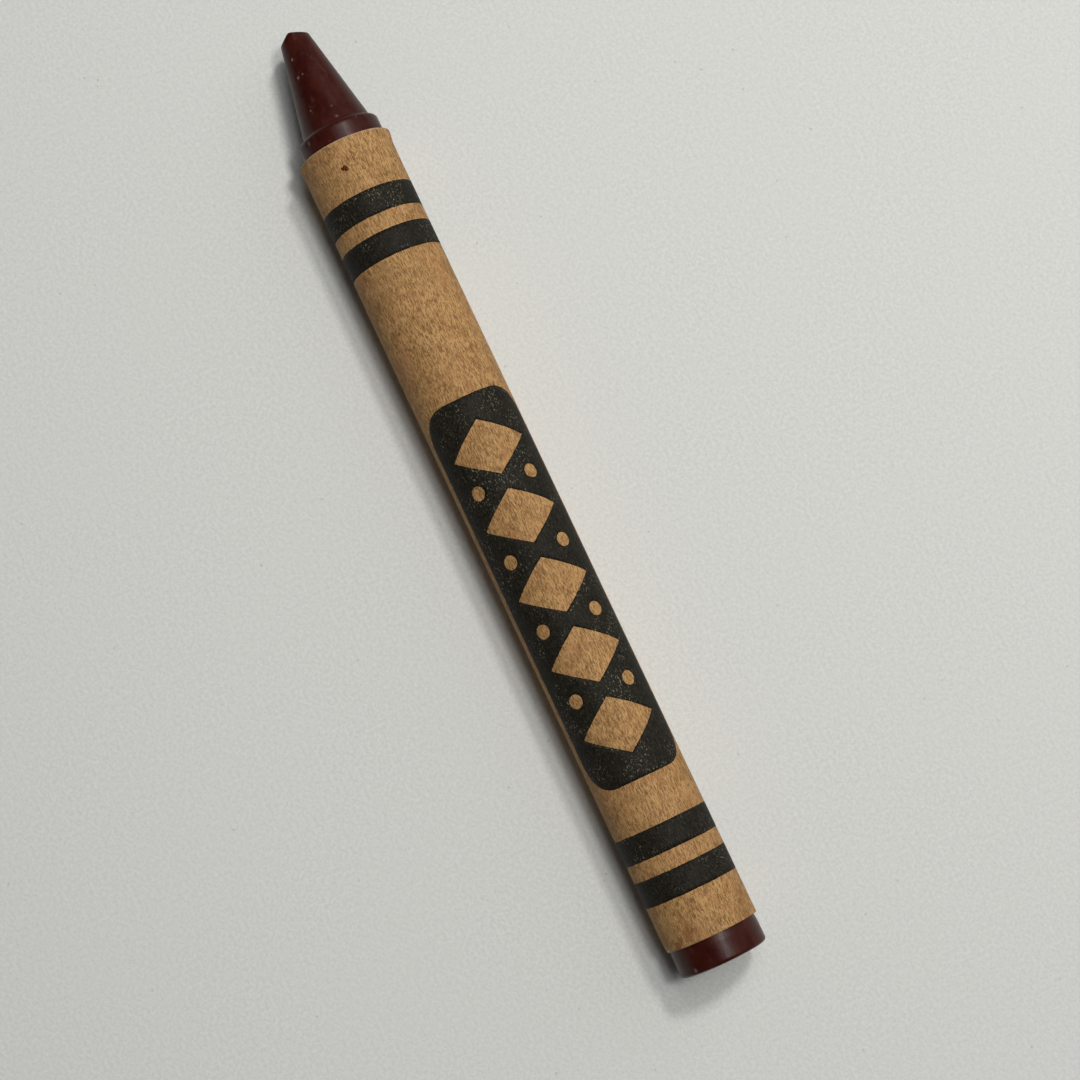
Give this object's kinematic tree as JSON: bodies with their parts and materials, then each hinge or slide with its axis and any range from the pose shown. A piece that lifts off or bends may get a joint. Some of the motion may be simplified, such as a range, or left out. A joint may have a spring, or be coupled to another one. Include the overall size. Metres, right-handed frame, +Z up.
{
  "type": "wax crayon",
  "caption": "Round wax crayon with a worn conical tip, in a wound kraft-paper label printed with plain bands and a panel of diamonds.",
  "frame": {"origin": "on the table under the middle of the crayon, which lies on its side, resting on its label", "axes": "+X along the crayon towards the writing tip, +Z up from the table, +Y to the left of someone who looks along +X"},
  "size_m": [0.0904, 0.0086, 0.0085],
  "materials": {
    "wax": "satin",
    "kraft_paper": "matte",
    "ink": "matte",
    "paste": "matte"
  },
  "bodies": {
    "root": {"wax_stick": "wax", "stick_paste": "paste", "label_sheet": "kraft_paper", "lap_paste": "paste", "butt_band_ink": "ink", "panel_ink": "ink", "tip_band_ink": "ink"}
  },
  "joints": []
}
